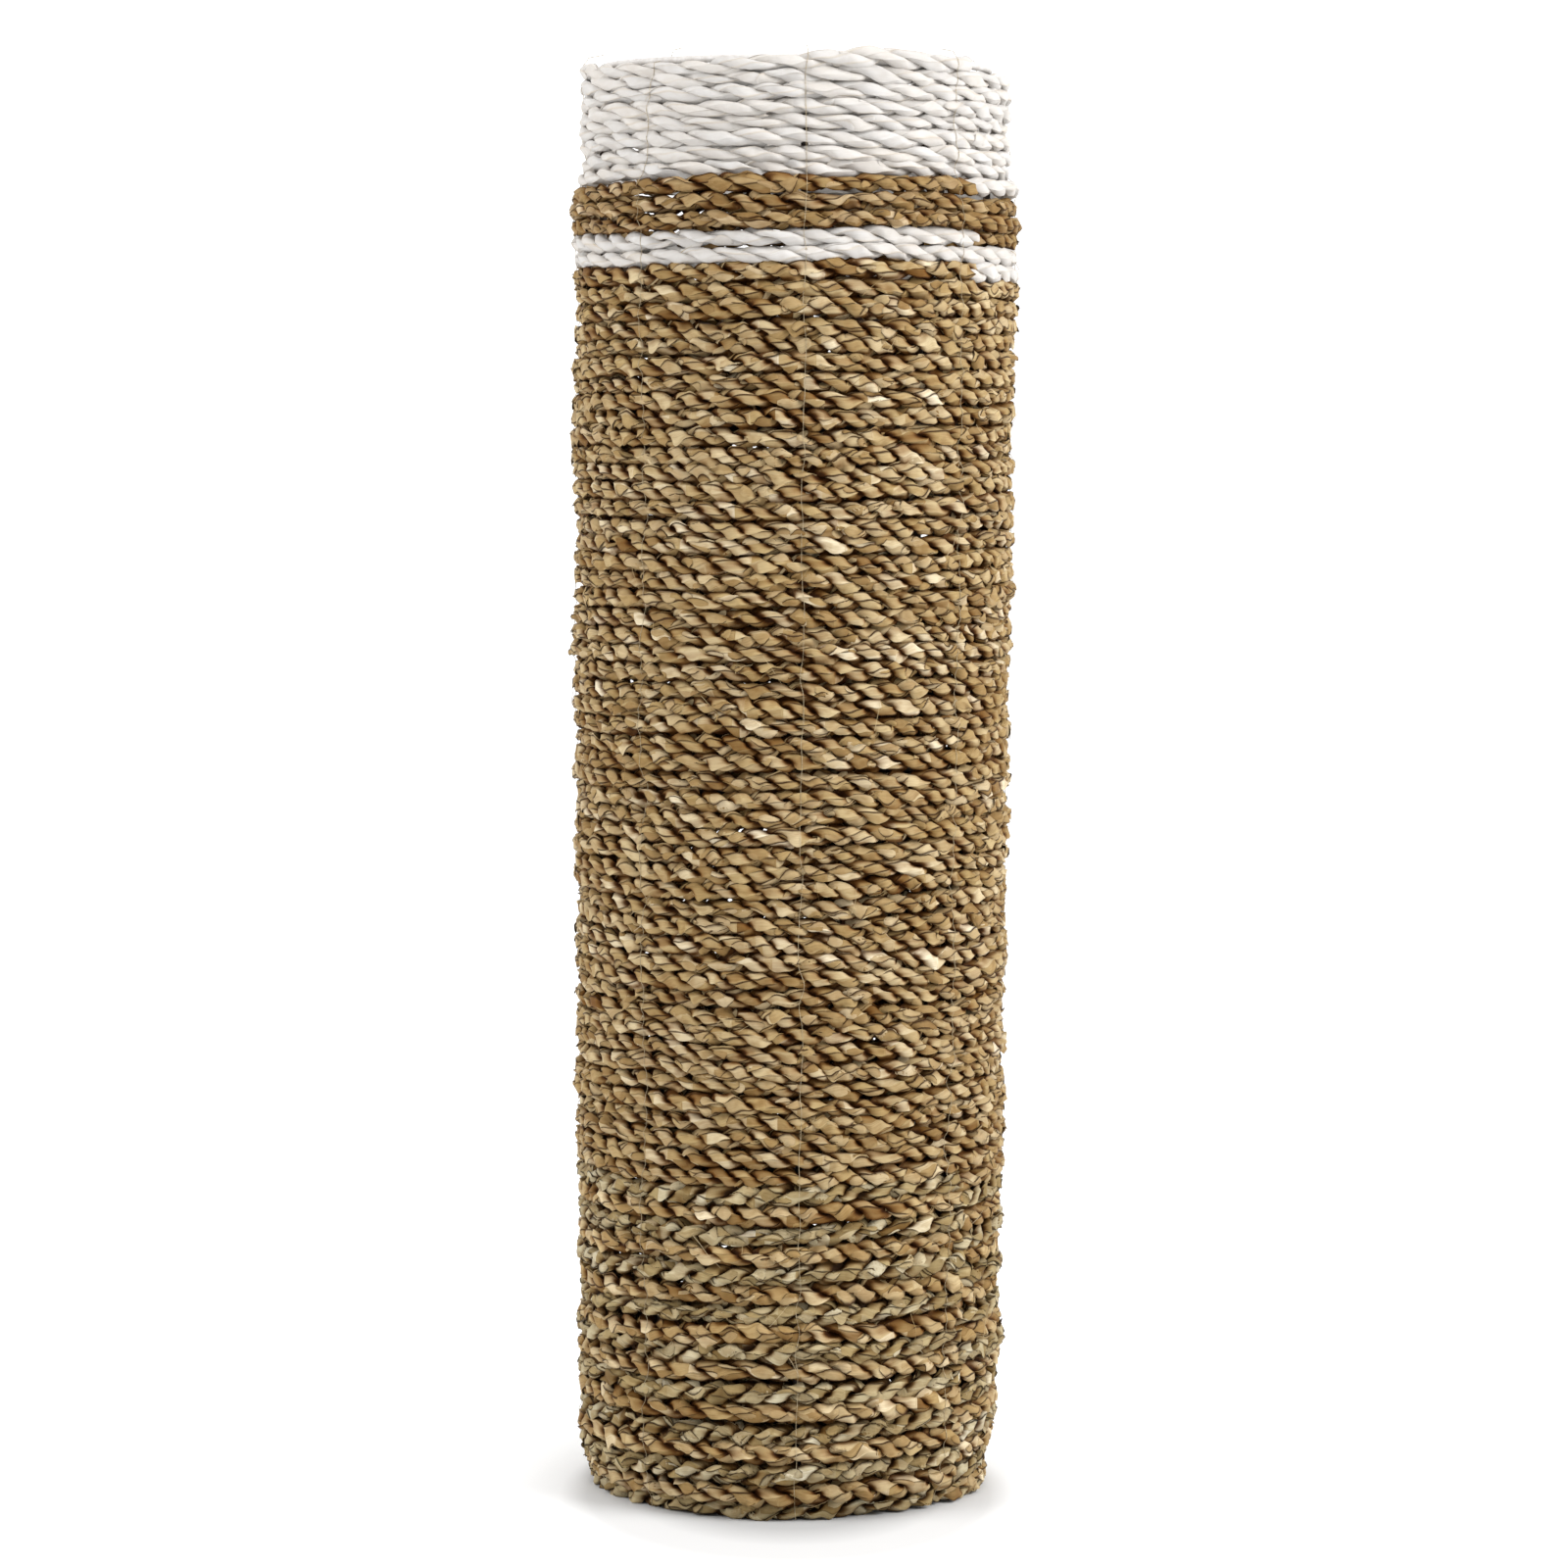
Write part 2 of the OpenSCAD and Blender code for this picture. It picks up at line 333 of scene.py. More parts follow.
def wind(kind, turn0, turn1, seed):
    """Plies of a wall rope from one turn count to another, as (vertices, looks, centre line) each."""
    rng = np.random.default_rng(seed)
    mean_r = float(np.interp((turn0 + turn1) / 2, ROW_TURN, ROW_R))
    length = 2 * math.pi * mean_r * (turn1 - turn0)
    n = int(length / STEP)
    turn = np.linspace(turn0, turn1, n)
    s = np.linspace(0, length, n)
    angle, z = helix(turn)
    p = KINDS[kind]
    wild = p["rough"]
    size = 1 + wild * (smooth_noise(rng, s, 0.09, 0.042) + smooth_noise(rng, s, 0.022, 0.055))

    # the ends taper and turn in behind the neighbours, and the thread pinches the rope at each seam
    tucked = np.maximum(np.clip(1 - s / TAPER, 0, 1), np.clip(1 - (length - s) / TAPER, 0, 1))
    tucked = tucked * tucked * (3 - 2 * tucked)
    from_seam = ((angle - FIRST_SEAM + SEAM_STEP / 2) % SEAM_STEP - SEAM_STEP / 2) * mean_r
    pinch = np.exp(-(from_seam / PINCH_LENGTH) ** 2)
    size = size * (1 - 0.45 * tucked) * (1 - 0.07 * pinch)
    lift = rim_lift(turn, turn1) if kind == "rim" else np.zeros(n)
    size = size * (1 + np.where(lift < 0, 55, 60) * lift)      # pressed thinner where it sags, fuller above

    z = z + lift
    radius = np.interp(turn, ROW_TURN, ROW_R) - EMBED * p["out"]
    radius = radius - TUCK * tucked + 0.5 * np.minimum(lift, 0) - PINCH_DEPTH * pinch
    radius = radius + 0.0011 * wall_sway(angle, z, 1.7)
    radius = radius + wild * (smooth_noise(rng, s, 0.035, 0.0005) + smooth_noise(rng, s, 0.2, 0.0008))
    z = z + 0.0013 * wall_sway(angle, z, 0.0) * np.clip(z / 0.05, 0, 1)
    z = z + wild * (smooth_noise(rng, s, 0.030, 0.00030) + smooth_noise(rng, s, 0.15, 0.00052))
    z = np.maximum(z, p["up"] * 0.98)
    plies = []
    for out, up, look in twist(rng, s, kind, size):
        points = to_wall(angle[:, None], radius[:, None] + out, z[:, None] + up)
        points[..., 2] = np.maximum(points[..., 2], 0)
        plies.append((points, look, points.mean(1)))
    return plies


# ---------------------------------------------------------------- meshes
def tube_faces(rings, ring, base):
    """Quads of a tube of rings, and one cap at each end."""
    i = np.arange(rings - 1)[:, None] * ring
    k = np.arange(ring)[None, :]
    k2 = (k + 1) % ring
    quads = np.stack([i + k, i + k2, i + ring + k2, i + ring + k], -1).reshape(-1, 4) + base
    caps = [base + np.arange(ring)[::-1], base + (rings - 1) * ring + np.arange(ring)]
    return quads, caps


def inside_out(points):
    """Whether the faces of a tube of rings look inwards."""
    around = np.roll(points, -1, 1) - points
    along = np.gradient(points, axis=0)
    away = points - points.mean(1, keepdims=True)
    return float((np.cross(around, along) * away).sum()) < 0


FLAP_RINGS, FLAP_SIDE = 8, 4        # rings along a loose leaf edge, and points across each side of it
CAP_LOOK = 0.3                      # tone and hue of the small faces that close a tube


class Shape:
    """Collects tubes and leaves, then makes one mesh object."""

    def __init__(self):
        self.verts, self.quads, self.caps, self.sharp = [], [], [], []
        self.points = {"leaf": [], "crease": [], "deep": []}
        self.faces = {"tone": [], "hue": []}
        self.count = 0

    def tube(self, points, leaf, crease, deep, tone, hue, sharp_rows):
        """A tube of rings. tone and hue are per quad, sharp_rows lists the ring points on crisp edges."""
        rings, ring = points.shape[:2]
        quads, caps = tube_faces(rings, ring, self.count)
        if inside_out(points):
            quads, caps = quads[:, ::-1], [cap[::-1] for cap in caps]
        self.verts.append(points.reshape(-1, 3))
        self.quads.append(quads)
        self.caps += caps
        self.points["leaf"].append(leaf.reshape(-1, 3))
        self.points["crease"].append(crease.ravel())
        self.points["deep"].append(deep.ravel())
        for key, value in (("tone", tone), ("hue", hue)):
            self.faces[key].append(value[:-1].ravel())
        row = np.zeros(ring, bool)
        row[list(sharp_rows)] = True
        self.sharp.append(np.tile(row, rings))
        self.count += rings * ring

    def crisp_edges(self, mesh):
        """Which edges run along a tube from one sharp point to the next. Edges round a ring stay smooth."""
        pair = np.zeros(len(mesh.edges) * 2, np.int32)
        mesh.edges.foreach_get("vertices", pair)
        pair = pair.reshape(-1, 2)
        sharp = np.concatenate(self.sharp)
        gap = np.abs(pair[:, 1] - pair[:, 0])
        return sharp[pair[:, 0]] & sharp[pair[:, 1]] & (gap >= 2 * FLAP_SIDE)

    def make(self, name, material, replaced):
        """The mesh object, on the basket's one body, in place of the CAD nodes named in replaced."""
        mesh = bpy.data.meshes.new(name)
        verts, quads = np.concatenate(self.verts), np.concatenate(self.quads)
        mesh.vertices.add(len(verts))
        mesh.vertices.foreach_set("co", verts.astype(np.float32).ravel())
        sizes = np.concatenate([np.full(len(quads), 4), [len(c) for c in self.caps]]).astype(np.int32)
        starts = np.concatenate([[0], np.cumsum(sizes)[:-1]]).astype(np.int32)
        loops = np.concatenate([quads.ravel()] + self.caps).astype(np.int32)
        mesh.loops.add(len(loops))
        mesh.loops.foreach_set("vertex_index", loops)
        mesh.polygons.add(len(sizes))
        mesh.polygons.foreach_set("loop_start", starts)
        mesh.polygons.foreach_set("loop_total", sizes)
        mesh.update(calc_edges=True)
        mesh.polygons.foreach_set("use_smooth", np.ones(len(sizes), bool))
        for key, values in self.points.items():
            values = np.concatenate(values).astype(np.float32)
            kind, field = ("FLOAT_VECTOR", "vector") if values.ndim == 2 else ("FLOAT", "value")
            mesh.attributes.new(key, kind, "POINT").data.foreach_set(field, values.ravel())
        for key, values in self.faces.items():
            values = np.concatenate(values + [np.full(len(self.caps), CAP_LOOK)]).astype(np.float32)
            mesh.attributes.new(key, "FLOAT", "FACE").data.foreach_set("value", values)
        crisp = self.crisp_edges(mesh)
        mesh.attributes.new("sharp_edge", "BOOLEAN", "EDGE").data.foreach_set("value", crisp)
        mesh.materials.append(material)
        piece = bpy.data.objects.new(name, mesh)
        bpy.context.scene.collection.objects.link(piece)
        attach(piece, "root")
        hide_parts(*replaced)
        return piece


def add_ply(shape, points, look):
    """One ply as a tube that is crisp along its folds."""
    leaf = np.stack([look["along"], look["across"], look["tone"]], -1)
    folds = [j * SPAN for j in range(FOLDS)] + [RING - 1]
    shape.tube(points, leaf, look["crease"], look["deep"], look["tone"], look["hue"], folds)


SMALL_FLAPS = dict(lift=(0.0005, 0.0017), length=(0.008, 0.019))
BIG_FLAPS = dict(lift=(0.0010, 0.0019), length=(0.010, 0.022))
BLADE = 0.00022                     # thickness of a loose leaf edge


def on_skin(points, i, k):
    """Places on a ply's skin at ring numbers i and ring points k, with the whole and the rest of i."""
    ia, ka = i.astype(int), k.astype(int)
    fi, fr = (i - ia)[..., None], (k - ka)[..., None]
    kb = (ka + 1) % RING
    skin = ((points[ia, ka] * (1 - fr) + points[ia, kb] * fr) * (1 - fi)
            + (points[ia + 1, ka] * (1 - fr) + points[ia + 1, kb] * fr) * fi)
    return skin, ia, fi


def add_flaps(shape, rng, points, centre, count, lift, length):
    """Loose leaf edges: thin blades that lie on the ply and curl up along one side. Most face outwards."""
    n = len(points)
    u = np.linspace(0, 1, FLAP_RINGS)[:, None]
    v = np.linspace(0, 1, FLAP_SIDE)[None, :]
    ring = 2 * FLAP_SIDE
    for _ in range(count):
        rings = rng.uniform(*length) / STEP
        if n < rings + 4:
            continue
        i0 = rng.uniform(1, n - rings - 2)
        k0 = rng.uniform(0, RING)
        middle = int(i0 + rings / 2)
        facing = np.hypot(*points[middle, int(k0), :2]) - np.hypot(*centre[middle, :2])
        if facing < 0.0008 and rng.random() < 0.8:
            k0 = (k0 + RING / 2) % RING
        wide = rng.uniform(2.2, 4.6) * rng.choice((-1, 1))
        high = rng.uniform(*lift) * rng.choice((0.4, 1.0, 1.0))
        slant = rng.uniform(-2.0, 2.0)
        body = np.sin(math.pi * (0.04 + 0.92 * u ** rng.uniform(0.7, 1.4))) ** 0.55
        i = np.clip(i0 + u * rings + 0 * v, 0, n - 1.001)
        k = (k0 + slant * (u - 0.5) + wide * (v - 0.4) * body) % RING
        skin, ia, fi = on_skin(points, i, k)
        core = centre[ia] * (1 - fi) + centre[ia + 1] * fi
        away = skin - core
        away /= np.linalg.norm(away, axis=-1, keepdims=True) + 1e-9
        curl = 0.00008 + high * v ** 1.7 * body
        top = skin + away * (curl + BLADE * 0.5)[..., None]
        low = skin + away * (curl - BLADE * 0.5)[..., None]
        blade = np.concatenate([top, low[:, ::-1]], 1)
        blade[..., 2] = np.maximum(blade[..., 2], 0)
        if wide < 0:
            blade = blade[:, ::-1]
        along = i0 * STEP + np.repeat(u * rings * STEP, ring, 1)
        across = np.repeat(np.linspace(0, 0.3, ring)[None, :], FLAP_RINGS, 0)
        leaf = np.stack([along, across, np.full_like(along, rng.random())], -1)
        tone = np.full((FLAP_RINGS, ring), rng.uniform(0.15, 0.80))
        hue = np.full((FLAP_RINGS, ring), rng.random())
        # painted shade along the blade's lifted free edge
        crease = np.zeros((FLAP_RINGS, ring))
        crease[:, FLAP_SIDE - 1:FLAP_SIDE + 1] = 1
        shape.tube(blade, leaf, crease, np.full((FLAP_RINGS, ring), 0.9), tone, hue,
                   (0, FLAP_SIDE - 1, FLAP_SIDE, ring - 1))


# ---------------------------------------------------------------- materials
def srgb(*c):
    """A colour given as sRGB shares, as the linear values that shader sockets take."""
    return tuple((v / 12.92 if v <= 0.04045 else ((v + 0.055) / 1.055) ** 2.4) for v in c) + (1.0,)


class Nodes:
    """Short hand for building a node material."""

    def __init__(self, name):
        self.material = bpy.data.materials.new(name)
        self.material.use_nodes = True
        self.tree = self.material.node_tree
        self.tree.nodes.clear()
        self.out = self.add("ShaderNodeOutputMaterial")
        self.shader = self.add("ShaderNodeBsdfPrincipled")
        self.link(self.shader, "BSDF", self.out, "Surface")

    def add(self, kind, **settings):
        node = self.tree.nodes.new(kind)
        for key, value in settings.items():
            if key in node.bl_rna.properties:
                setattr(node, key, value)
            else:
                node.inputs[key].default_value = value
        return node

    def link(self, a, a_out, b, b_in):
        self.tree.links.new(a.outputs[a_out], b.inputs[b_in])

    def attribute(self, name):
        return self.add("ShaderNodeAttribute", attribute_name=name)

    def ramp(self, source, output, stops):
        node = self.add("ShaderNodeValToRGB")
        ramp = node.color_ramp
        while len(ramp.elements) < len(stops):
            ramp.elements.new(0.5)
        for element, (at, colour) in zip(ramp.elements, stops):
            element.position = at
            element.color = colour
        self.link(source, output, node, "Fac")
        return node

    def mix(self, factor, a, b, blend="MIX"):
        """factor, a and b are (node, output) pairs or plain values."""
        node = self.add("ShaderNodeMix", data_type="RGBA", blend_type=blend)
        for socket, value in ((node.inputs[0], factor), (node.inputs[6], a), (node.inputs[7], b)):
            if isinstance(value, tuple) and len(value) == 2 and not isinstance(value[0], float):
                self.tree.links.new(value[0].outputs[value[1]], socket)
            else:
                socket.default_value = value
        return node, 2

    def math(self, operation, a, b):
        """a and b are (node, output) pairs or plain numbers."""
        node = self.add("ShaderNodeMath", operation=operation)
        for socket, value in zip(node.inputs, (a, b)):
            if isinstance(value, tuple):
                self.tree.links.new(value[0].outputs[value[1]], socket)
            else:
                socket.default_value = value
        return node, 0

    def noise(self, vector, scale, detail, roughness=0.6):
        """Noise over an attribute vector, stretched by scale on each axis."""
        spread = self.add("ShaderNodeMapping", vector_type="POINT")
        spread.inputs["Scale"].default_value = scale
        self.link(vector, "Vector", spread, "Vector")
        noise = self.add("ShaderNodeTexNoise", Scale=1.0, Detail=detail, Roughness=roughness)
        self.link(spread, "Vector", noise, "Vector")
        return noise

    def base_colour(self, colour):
        self.tree.links.new(colour[0].outputs[colour[1]], self.shader.inputs["Base Color"])


def leaf_material(name, tones, tint, painted_shade, warm_shade_colour, streak=0.9, rough=0.62, blotch=0.7, painted_shade_share=0.95,
                  crevice=(0.49, 0.78), edge=(0.60, 0.96)):
    """Dried leaf: a tone and tint per leaf, fine streaks along it, blotches, painted shade in folds and
    crevices.

    streak, blotch and the share of painted shade say how strong each is. crevice and edge are the distances
    from the rope's middle between which the painted dark shade and the painted warm shade fade out.
    """
    m = Nodes(name)
    tone, crease, deep, hue = (m.attribute(a) for a in ("tone", "crease", "deep", "hue"))
    leaf = m.attribute("leaf")
    base = m.ramp(tone, "Fac", tones)
    colour = m.mix(m.math("MULTIPLY", (hue, "Fac"), 0.55), (base, "Color"), tint)
    fibres = m.noise(leaf, (85.0, 70.0, 40.0), 4.0)
    patches = m.noise(leaf, (120.0, 6.0, 9.0), 2.0, 0.5)
    light = m.ramp(fibres, "Fac", [(0.30, (0.80, 0.78, 0.74, 1)), (0.70, (1.12, 1.12, 1.12, 1))])
    colour = m.mix(streak, colour, (light, "Color"), "MULTIPLY")
    patch = m.ramp(patches, "Fac", [(0.36, (0.74, 0.66, 0.55, 1)), (0.58, (1.05, 1.05, 1.04, 1))])
    colour = m.mix(blotch, colour, (patch, "Color"), "MULTIPLY")
    # Painted warm shade: browner towards the rope's middle and where rows meet
    edge_shade_mask = m.ramp(deep, "Fac", [(edge[0], (1, 1, 1, 1)), (edge[1], (0, 0, 0, 1))])
    colour = m.mix(m.math("MULTIPLY", (edge_shade_mask, "Color"), painted_shade_share), colour, warm_shade_colour)
    # Painted dark shade along the folds, under the leaf's lip and deep in the crevices
    fold = m.ramp(crease, "Fac", [(0.40, (0, 0, 0, 1)), (0.88, (1, 1, 1, 1))])
    hidden = m.ramp(deep, "Fac", [(crevice[0], (1, 1, 1, 1)), (crevice[1], (0, 0, 0, 1))])
    dark = m.math("MAXIMUM", (fold, "Color"), (hidden, "Color"))
    dark = m.math("MULTIPLY", dark, painted_shade_share)
    m.base_colour(m.mix(dark, colour, painted_shade))
    m.shader.inputs["Roughness"].default_value = rough
    m.shader.inputs["Specular IOR Level"].default_value = 0.08
    bump = m.add("ShaderNodeBump", Strength=0.4, Distance=0.0004)
    m.link(fibres, "Fac", bump, "Height")
    m.link(bump, "Normal", m.shader, "Normal")
    return m.material


def plain_material(name, colours, scale, rough):
    """A finish with mottled colour and a fine bump, for wire and thread."""
    m = Nodes(name)
    place = m.add("ShaderNodeTexCoord")
    noise = m.add("ShaderNodeTexNoise", Scale=scale, Detail=4.0, Roughness=0.6)
    m.link(place, "Object", noise, "Vector")
    tone = m.ramp(noise, "Fac", [(0.35, colours[0]), (0.65, colours[1])])
    m.base_colour((tone, "Color"))
    m.shader.inputs["Roughness"].default_value = rough
    bump = m.add("ShaderNodeBump", Strength=0.3, Distance=0.0002)
    m.link(noise, "Fac", bump, "Height")
    m.link(bump, "Normal", m.shader, "Normal")
    return m.material


# Painted shade colours: a dark brown for the folds and crevices, and a warm brown nearer the rope's middle
PAINTED_DARK_SHADE = srgb(0.16, 0.065, 0.004)
PAINTED_WARM_SHADE = srgb(0.41, 0.255, 0.08)
WHITE_TINT = srgb(0.76, 0.735, 0.705)
MATERIALS = {
    "natural_rope": leaf_material("natural_leaf", [
        (0.0, srgb(0.41, 0.29, 0.135)), (0.3, srgb(0.59, 0.50, 0.345)),
        (0.7, srgb(0.72, 0.655, 0.53)), (1.0, srgb(0.84, 0.80, 0.71))],
        srgb(0.64, 0.555, 0.38), PAINTED_DARK_SHADE, PAINTED_WARM_SHADE),
    "tan_rope": leaf_material("tan_leaf", [
        (0.0, srgb(0.41, 0.29, 0.135)), (0.3, srgb(0.57, 0.47, 0.31)),
        (0.7, srgb(0.73, 0.66, 0.525)), (1.0, srgb(0.86, 0.805, 0.695))],
        srgb(0.67, 0.575, 0.39), PAINTED_DARK_SHADE, PAINTED_WARM_SHADE),
    "grey_rope": leaf_material("grey_leaf", [
        (0.0, srgb(0.38, 0.29, 0.145)), (0.3, srgb(0.525, 0.465, 0.33)),
        (0.7, srgb(0.705, 0.672, 0.57)), (1.0, srgb(0.84, 0.82, 0.75))],
        # tint, then the grey rope's painted dark shade and painted warm shade
        srgb(0.67, 0.59, 0.415), srgb(0.13, 0.06, 0.005), srgb(0.37, 0.25, 0.09)),
    "band_rope": leaf_material("band_leaf", [
        (0.0, srgb(0.42, 0.315, 0.17)), (0.4, srgb(0.54, 0.45, 0.30)),
        (0.8, srgb(0.66, 0.585, 0.465)), (1.0, srgb(0.77, 0.70, 0.59))],
        srgb(0.60, 0.505, 0.34), PAINTED_DARK_SHADE, PAINTED_WARM_SHADE),
    "base_rope": leaf_material("base_leaf", [
        (0.0, srgb(0.45, 0.36, 0.22)), (0.5, srgb(0.60, 0.52, 0.37)), (1.0, srgb(0.74, 0.68, 0.55))],
        srgb(0.60, 0.52, 0.35), PAINTED_DARK_SHADE, PAINTED_WARM_SHADE),
    "white_rope": leaf_material("white_leaf", [
        (0.0, srgb(0.725, 0.715, 0.705)), (0.5, srgb(0.74, 0.73, 0.72)), (1.0, srgb(0.755, 0.747, 0.738))],
        # tint, a pale painted shade for the crevices at half strength, and the tint again in place of the
        # warm shade
        WHITE_TINT, srgb(0.70, 0.65, 0.58), WHITE_TINT, streak=0.12, rough=0.85, blotch=0.18,
        painted_shade_share=0.5, crevice=(0.12, 0.34), edge=(0.26, 0.60)),
    "frame_wire": plain_material(
        "painted_wire", (srgb(0.14, 0.10, 0.06), srgb(0.22, 0.16, 0.11)), 260.0, 0.5),
    "pale_wire": plain_material(
        "pale_wire", (srgb(0.72, 0.70, 0.68), srgb(0.80, 0.79, 0.78)), 260.0, 0.5),
    "thread": plain_material(
        "ivory_thread", (srgb(0.50, 0.43, 0.31), srgb(0.70, 0.64, 0.52)), 900.0, 0.4),
}

# ---------------------------------------------------------------- the ropes
TURNS_A_PIECE = 3
FOOT_ROWS_A_PIECE = 2
BIG_SHARE = 12                      # one big flap for so many small ones
wound = []                          # every ply of the wall, for the seams


def wall_piece(name, kind, plies, seed):
    """One mesh object from a few plies of the wall, with their loose leaf edges."""
    shape = Shape()
    rng = np.random.default_rng(seed)
    for points, look, centre in plies:
        add_ply(shape, points, look)
        count = int(KINDS[kind]["flaps"] * len(points) * STEP)
        add_flaps(shape, rng, points, centre, count, **SMALL_FLAPS)
        if KINDS[kind]["slot"] != "white_rope":
            add_flaps(shape, rng, points, centre, max(1, count // BIG_SHARE), **BIG_FLAPS)
    slot = KINDS[kind]["slot"]
    shape.make(name, MATERIALS[slot], [SECTIONS[kind]])


def cut(ply, i0, i1):
    """The rings of a ply from one number to another."""
    points, look, centre = ply
    return points[i0:i1], {key: value[i0:i1] for key, value in look.items()}, centre[i0:i1]


def rope(kind, first_row, rows, seed):
    """A stretch of rope over whole rows, cut into pieces of a few turns."""
    plies = wind(kind, first_row - LAP, first_row + rows + LAP, seed)
    wound.extend(plies)
    parts = max(1, round(rows / TURNS_A_PIECE))
    bounds = np.linspace(0, len(plies[0][0]) - 1, parts + 1).astype(int)
    for i in range(parts):
        name = f"{kind}_rope_wound" if parts == 1 else f"{kind}_rope_wound_{i + 1}"
        wall_piece(name, kind, [cut(ply, bounds[i], bounds[i + 1] + 1) for ply in plies], seed * 100 + i)


def foot_ropes():
    """The two foot ropes: a row of each in turn, gathered into pieces of a few rows."""
    for kind in ("grey", "tan"):
        rows = [i for i in range(FOOT_COUNT) if ROWS[i][0] == kind]
        for group in range(0, len(rows), FOOT_ROWS_A_PIECE):
            plies = []
            for k in rows[group:group + FOOT_ROWS_A_PIECE]:
                plies += wind(kind, k - LAP, k + 1 + LAP, 700 + k)
            wound.extend(plies)
            wall_piece(f"foot_{kind}_wound_{group // FOOT_ROWS_A_PIECE + 1}", kind, plies, 70 + group)


def wall_ropes():
    """The ropes above the foot, each starting where the one below it ends."""
    row = FOOT_COUNT
    for number, (kind, rows) in enumerate(WALL):
        rope(kind, row, rows, 40 + number)
        row += rows


foot_ropes()
wall_ropes()


# ---------------------------------------------------------------- base mat, seams, fibres, wire frame
def base_mat():
    """Flat coil of rope inside the foot, from the middle out."""
    rng = np.random.default_rng(90)
    corner = BOX["base_mat"][1]
    edge, thick = corner.x, corner.z
    turns, start_r = 9, 0.0035
    gap = edge / (turns + 0.5)
    sweep = np.linspace(0, turns * 2 * math.pi, 40000)
    r = np.minimum(start_r + gap * sweep / (2 * math.pi), edge - KINDS["mat"]["up"])
    s_all = np.concatenate([[0], np.cumsum(np.hypot(np.diff(r), r[1:] * np.diff(sweep)))])
    s = np.arange(0, s_all[-1], STEP)
    angle, r = np.interp(s, s_all, sweep), np.interp(s, s_all, r)
    size = 1 + smooth_noise(rng, s, 0.03, 0.03)
    shape = Shape()
    for out, up, look in twist(rng, s, "mat", size):
        points = to_wall(angle[:, None], r[:, None] + up, thick / 2 + out)
        points[..., 2] = np.clip(points[..., 2], 0, thick + 0.0006)
        add_ply(shape, points, look)
        add_flaps(shape, rng, points, points.mean(1), 30, **SMALL_FLAPS)
    shape.make("base_mat_coil", MATERIALS["base_rope"], ["base_mat"])


def thin_tube(shape, path, radius, sides=6, tone=0.5):
    """A thin round strand along a path of points."""
    path = np.asarray(path)
    ahead = np.gradient(path, axis=0)
    ahead /= np.linalg.norm(ahead, axis=1, keepdims=True) + 1e-12
    side = np.cross(ahead, (0.31, 0.24, 0.92))      # no strand runs this way
    side /= np.linalg.norm(side, axis=1, keepdims=True) + 1e-12
    lift = np.cross(ahead, side)
    a = np.arange(sides) * 2 * math.pi / sides
    radius = np.broadcast_to(radius, len(path))
    points = path[:, None] + radius[:, None, None] * (
        np.cos(a)[None, :, None] * side[:, None] + np.sin(a)[None, :, None] * lift[:, None])
    n = len(path)
    run = np.cumsum(np.linalg.norm(np.diff(path, axis=0, prepend=path[:1]), axis=1))
    leaf = np.stack([np.repeat(run[:, None], sides, 1), np.repeat(a[None, :] / 6.3, n, 0),
                     np.full((n, sides), tone)], -1)
    flat = np.full((n, sides), tone)
    shape.tube(points, leaf, np.zeros((n, sides)), np.ones((n, sides)), flat, flat, ())


# Every point of the wall, as angle, radius and height
all_points = np.concatenate([points.reshape(-1, 3) for points, _, _ in wound])
all_angle = np.arctan2(all_points[:, 0], -all_points[:, 1])
all_r = np.hypot(all_points[:, 0], all_points[:, 1])
all_z = all_points[:, 2]
SKIN_STEP = 0.0004                  # step of the grid of heights on which the wall's outline is taken
THREAD_R, KNOT_R, FIBRE_R = 0.00016, 0.00017, 0.00016


def outer_skin(angle, half_width=0.0012):
    """Outline (z, radius) of the wall's outside at an angle, on a fine grid of heights."""
    away = (all_angle - angle + math.pi) % (2 * math.pi) - math.pi
    near = np.abs(away) * WALL_R < half_width
    z_grid = np.arange(0, all_z.max(), SKIN_STEP)
    skin = np.full(len(z_grid), 0.100)              # deeper than the inside of any row
    at = np.clip((all_z[near] / SKIN_STEP).astype(int), 0, len(z_grid) - 1)
    for shift in (-1, 0, 1):
        np.maximum.at(skin, np.clip(at + shift, 0, len(z_grid) - 1), all_r[near])
    return z_grid, skin


def taut(skin, radius):
    """The skin with its grooves bridged as a thread that bends no tighter than radius bridges them."""
    deepest = 0.004                                 # a groove gives the thread no more than this
    reach = int(math.sqrt(2 * radius * deepest) / SKIN_STEP)
    w = np.arange(-reach, reach + 1)
    drop = (w * SKIN_STEP) ** 2 / (2 * radius)
    padded = np.pad(skin, reach, mode="edge")
    wide = np.max([padded[reach + k:reach + k + len(skin)] - d for k, d in zip(w, drop)], 0)
    padded = np.pad(wide, reach, mode="edge")
    return np.min([padded[reach + k:reach + k + len(skin)] + d for k, d in zip(w, drop)], 0)


def knot(rng, centre):
    """A knot where a thread was tied off, with a short loose end: one path for a thin tube."""
    t = np.linspace(0, 2 * math.pi * 1.6, 22)
    out = centre / np.linalg.norm(centre[:2]) * (1, 1, 0)
    side = np.array((-out[1], out[0], 0))
    loop = centre + np.outer(np.sin(t) * 0.0006, side) + np.outer(np.cos(2 * t) * 0.0005, (0, 0, 1))
    loop = loop + np.outer(0.0004 * np.cos(t), out)
    tail = loop[-1] + np.outer(np.linspace(0, 1, 8) ** 1.3, side * rng.uniform(-0.004, 0.004)
                               + np.array((0, 0, -0.003)) + out * 0.0012)
    return np.concatenate([loop, tail[1:]])


